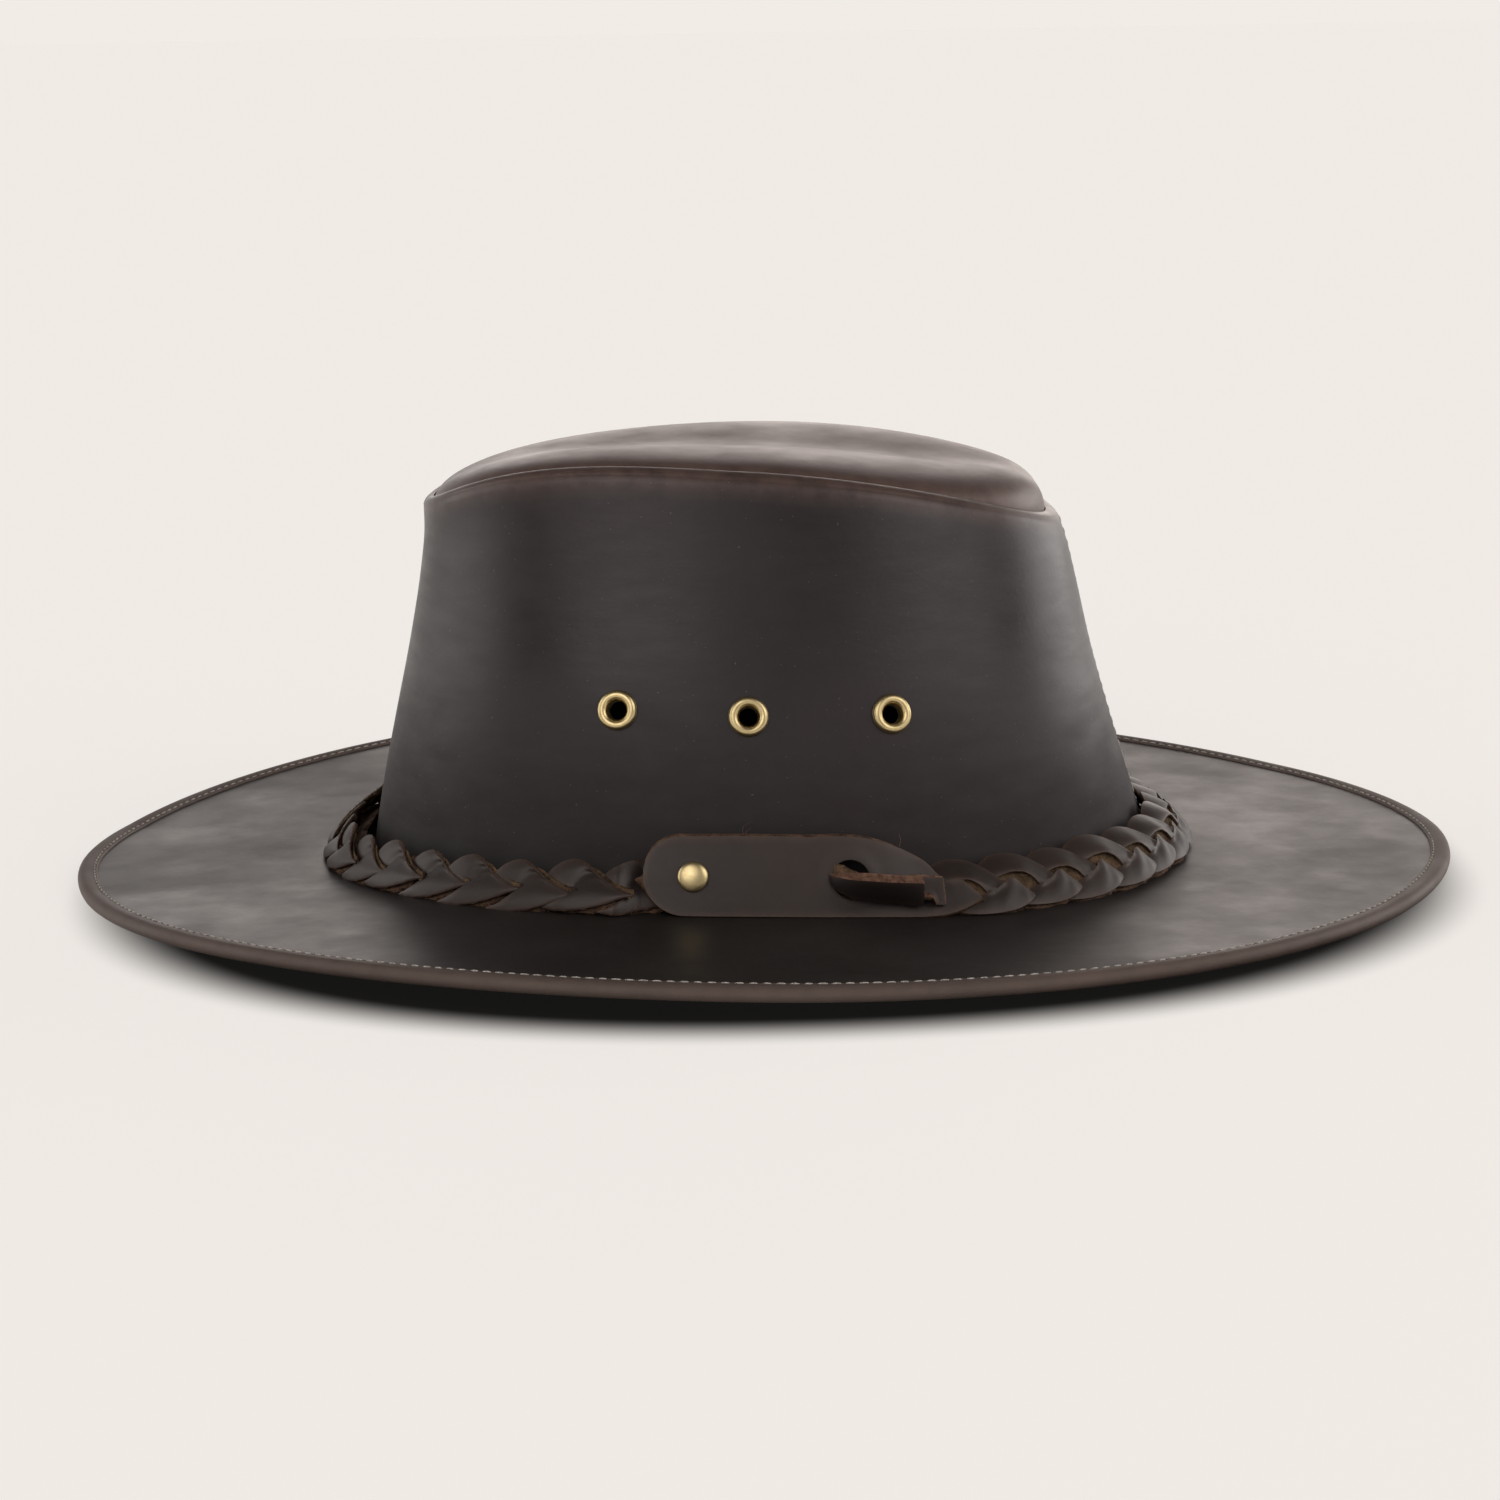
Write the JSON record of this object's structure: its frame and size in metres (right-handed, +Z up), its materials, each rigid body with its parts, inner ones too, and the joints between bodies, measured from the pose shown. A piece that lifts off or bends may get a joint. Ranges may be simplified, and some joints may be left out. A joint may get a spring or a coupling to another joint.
{
  "type": "leather hat",
  "caption": "Wide-brimmed leather hat with an oval creased crown, brass vent eyelets, a linked leather band closed by a riveted tab, and a bound, stitched brim edge.",
  "frame": {"origin": "on the surface that the hat rests on, under the middle of its brim", "axes": "+X towards the back of the hat, -X its front, -Y the wearer's left with the tab, +Z up"},
  "size_m": [0.387, 0.3548, 0.1209],
  "materials": {
    "brim_leather": "oiled, satin, with a faint grain",
    "crown_leather": "oiled, satin, slightly mottled",
    "binding_leather": "oiled, worn a little paler",
    "band_leather": "oiled face with raw brown cut edges",
    "brass": "polished, lightly worn"
  },
  "bodies": {
    "root": {"brim": "brim_leather", "brim_binding": "binding_leather", "crown_side": "crown_leather", "crown_tip": "crown_leather", "eyelet_1": "brass", "eyelet_2": "brass", "eyelet_3": "brass", "eyelet_4": "brass", "eyelet_5": "brass", "eyelet_6": "brass", "band_tab": "band_leather", "tab_rivet": "brass", "band_tie": "band_leather", "band_tie_end": "band_leather", "band_link_01": "band_leather", "band_link_02": "band_leather", "band_link_03": "band_leather", "band_link_04": "band_leather", "band_link_05": "band_leather", "band_link_06": "band_leather", "band_link_07": "band_leather", "band_link_08": "band_leather", "band_link_09": "band_leather", "band_link_10": "band_leather", "band_link_11": "band_leather", "band_link_12": "band_leather", "band_link_13": "band_leather", "band_link_14": "band_leather", "band_link_15": "band_leather", "band_link_16": "band_leather", "band_link_17": "band_leather", "band_link_18": "band_leather", "band_link_19": "band_leather", "band_link_20": "band_leather", "band_link_21": "band_leather", "band_link_22": "band_leather", "band_link_23": "band_leather", "band_link_24": "band_leather", "band_link_25": "band_leather", "band_link_26": "band_leather", "band_link_27": "band_leather", "band_link_28": "band_leather", "band_link_29": "band_leather", "band_link_30": "band_leather", "band_link_31": "band_leather", "band_link_32": "band_leather", "band_link_33": "band_leather", "band_link_34": "band_leather", "band_link_35": "band_leather", "band_link_36": "band_leather", "band_link_37": "band_leather", "band_link_38": "band_leather"}
  },
  "joints": []
}
